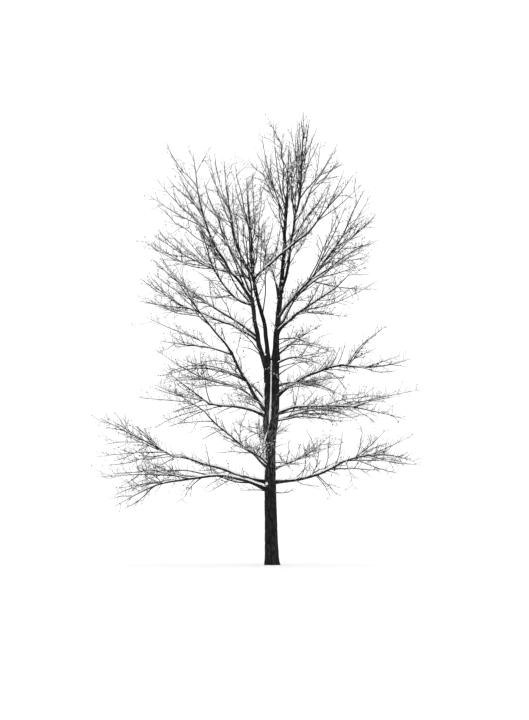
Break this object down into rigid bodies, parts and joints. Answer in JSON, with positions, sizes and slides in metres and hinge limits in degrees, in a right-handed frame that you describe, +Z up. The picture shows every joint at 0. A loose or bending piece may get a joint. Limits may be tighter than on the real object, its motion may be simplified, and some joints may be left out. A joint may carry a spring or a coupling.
{
  "type": "bare winter tree",
  "caption": "Tall bare broadleaf tree in winter: one trunk forking into two close stems, rising leaders, long side boughs and open masses of fine twigs, snow on the upper sides.",
  "frame": {"origin": "middle of the flat cut under the trunk, at ground level", "axes": "+Z up the tree; +X to the right and +Y away as the tree is seen from its front, with the crown widest along X"},
  "size_m": [15.9902, 10.1364, 22.644],
  "materials": {
    "bark": "rough, furrowed, nearly black wet bark",
    "twigs": "dull dark grey-brown twig bark"
  },
  "bodies": {
    "root": {"trunk": "bark", "left_stem": "bark", "right_leader": "bark", "inner_right_leader": "bark", "outer_right_leader": "bark", "left_leader": "bark", "centre_leader": "bark", "left_front_bough": "bark", "left_inner_bough": "bark", "left_long_bough": "bark", "left_lower_bough": "bark", "left_mid_bough": "bark", "left_rising_bough": "bark", "left_sweeping_bough": "bark", "left_sweeping_top_bough": "bark", "low_left_back_bough": "bark", "low_left_bough": "bark", "low_right_bough": "bark", "right_lower_bough": "bark", "right_mid_bough": "bark", "right_rising_bough": "bark", "right_snowy_bough": "bark", "snowy_bough": "bark", "upper_left_bough": "bark", "upper_right_bough": "bark", "back_high_spray": "twigs", "back_left_spray": "twigs", "back_low_spray": "twigs", "centre_crown_spray": "twigs", "crown_left_spray": "twigs", "front_high_spray": "twigs", "front_low_spray": "twigs", "inner_left_spray": "twigs", "left_crown_spray": "twigs", "left_drooping_spray": "twigs", "left_front_spray": "twigs", "left_high_spray": "twigs", "left_inner_spray": "twigs", "left_lower_spray": "twigs", "left_mid_spray": "twigs", "left_second_spray": "twigs", "left_shoulder_spray": "twigs", "left_sweeping_spray": "twigs", "low_left_back_spray": "twigs", "low_left_spray": "twigs", "low_right_back_spray": "twigs", "low_right_spray": "twigs", "right_arching_spray": "twigs", "right_back_rising_spray": "twigs", "right_back_spray": "twigs", "right_drooping_spray": "twigs", "right_front_spray": "twigs", "right_inner_spray": "twigs", "right_lower_spray": "twigs", "right_mid_spray": "twigs", "right_rising_spray": "twigs", "right_snowy_spray": "twigs", "top_spire_spray": "twigs", "upper_left_spray": "twigs", "upper_right_spray": "twigs"}
  },
  "joints": []
}
